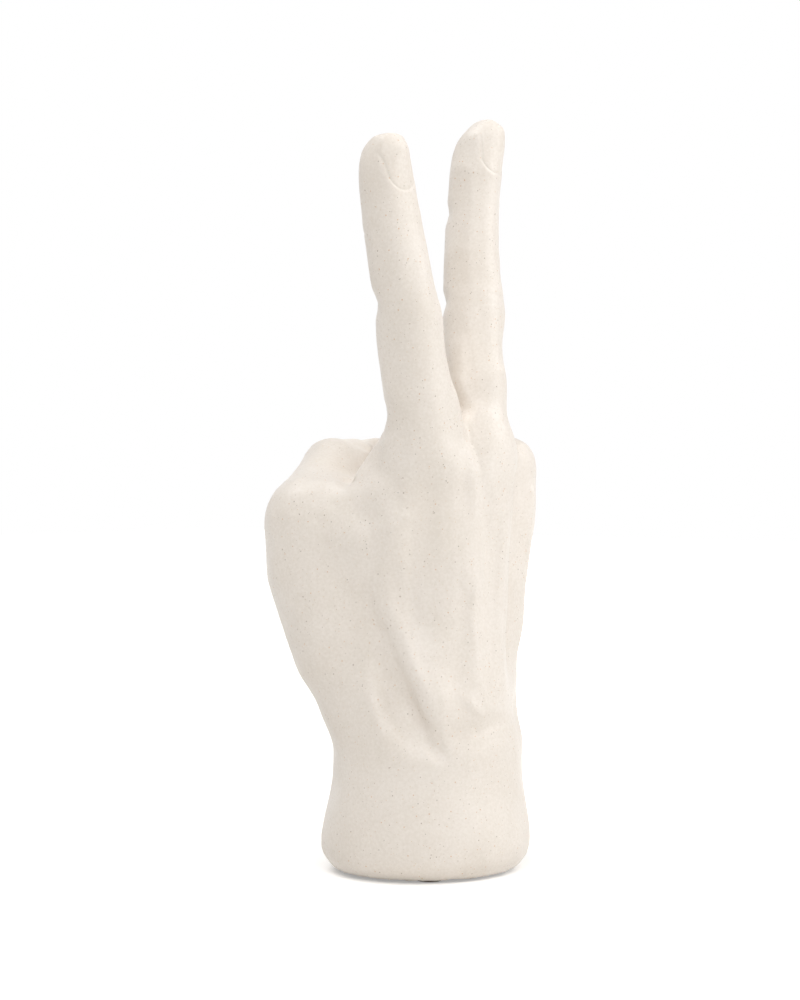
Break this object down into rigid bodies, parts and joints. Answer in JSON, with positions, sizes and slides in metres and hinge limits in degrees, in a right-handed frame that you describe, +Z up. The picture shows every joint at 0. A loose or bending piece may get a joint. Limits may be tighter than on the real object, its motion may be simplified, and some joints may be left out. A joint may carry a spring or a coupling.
{
  "type": "hand sculpture",
  "caption": "Standing hand sculpture, index and middle finger raised in a V, thumb across the folded fingers; hollow speckled stoneware on felt pads with a rubber vent bung.",
  "frame": {"origin": "under the middle of the whole object's box, on the surface that the felt pads stand on", "axes": "+Z up along the raised fingers, -Y the way the palm faces, +X the thumb side"},
  "size_m": [0.094, 0.0846, 0.2421],
  "materials": {
    "stoneware": "satin, pale with fine brown specks",
    "rubber": "matt, pale grey",
    "felt": "pressed wool felt, grey brown"
  },
  "bodies": {
    "root": {"hand_casting": "stoneware", "vent_bung": "rubber", "felt_pad_1": "felt", "felt_pad_2": "felt", "felt_pad_3": "felt", "felt_pad_4": "felt"}
  },
  "joints": []
}
